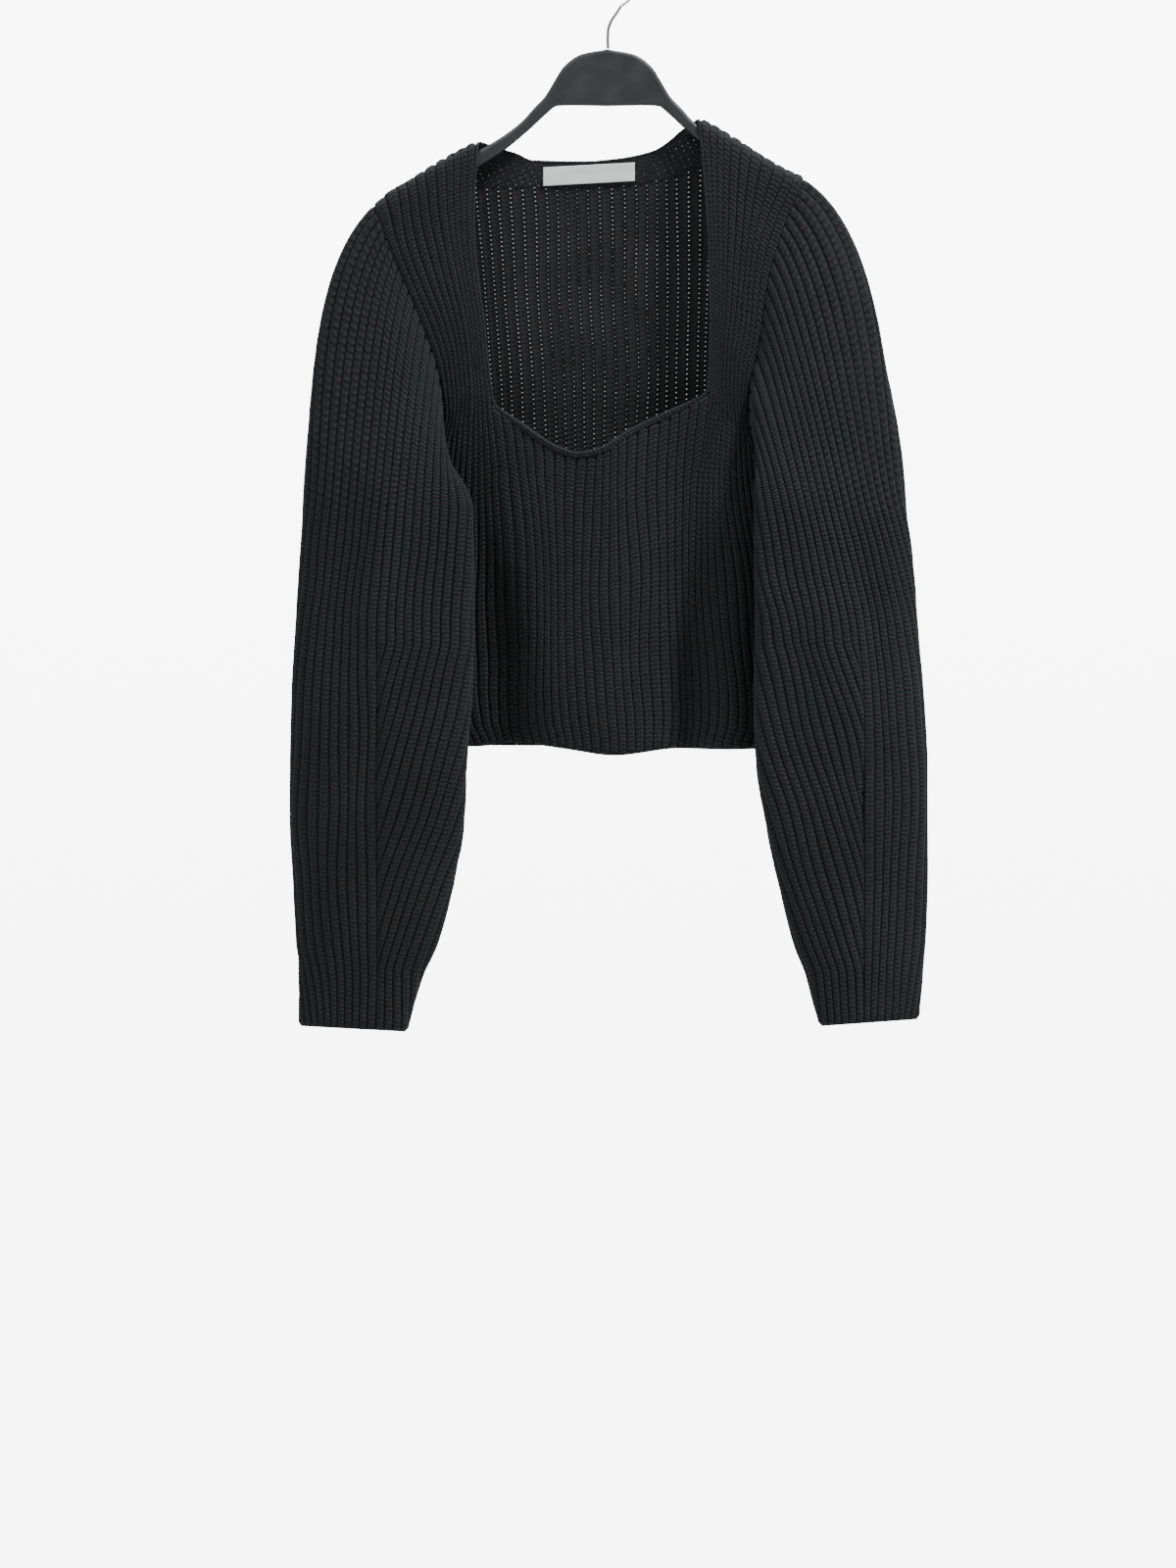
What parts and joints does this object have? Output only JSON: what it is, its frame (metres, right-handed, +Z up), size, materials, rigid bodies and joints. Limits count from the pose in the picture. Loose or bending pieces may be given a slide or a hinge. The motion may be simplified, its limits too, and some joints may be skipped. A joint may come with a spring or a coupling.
{
  "type": "sweater on a hanger",
  "caption": "Cropped rib-knit long-sleeved sweater with a sweetheart neckline and wide straps, hanging on a flat plastic hanger by its wire hook.",
  "frame": {"origin": "inside top of the hanger's hook, where a rail carries it", "axes": "+Z up, +X to the viewer's right when looking at the front, the front faces -Y"},
  "size_m": [0.5143, 0.1005, 0.8743],
  "materials": {
    "body_knit": "matt charcoal wide rib knit",
    "trim_knit": "matt charcoal plain knit",
    "label_cloth": "smooth white woven tape, blank",
    "hanger_plastic": "dark grey, slightly satin",
    "hook_chrome": "polished wire"
  },
  "bodies": {
    "root": {"front": "body_knit", "back": "body_knit", "sleeve_left": "body_knit", "sleeve_right": "body_knit", "back_neckband": "trim_knit", "neck_binding": "trim_knit", "neck_label": "label_cloth", "hanger": "hanger_plastic", "hook": "hook_chrome"}
  },
  "joints": []
}
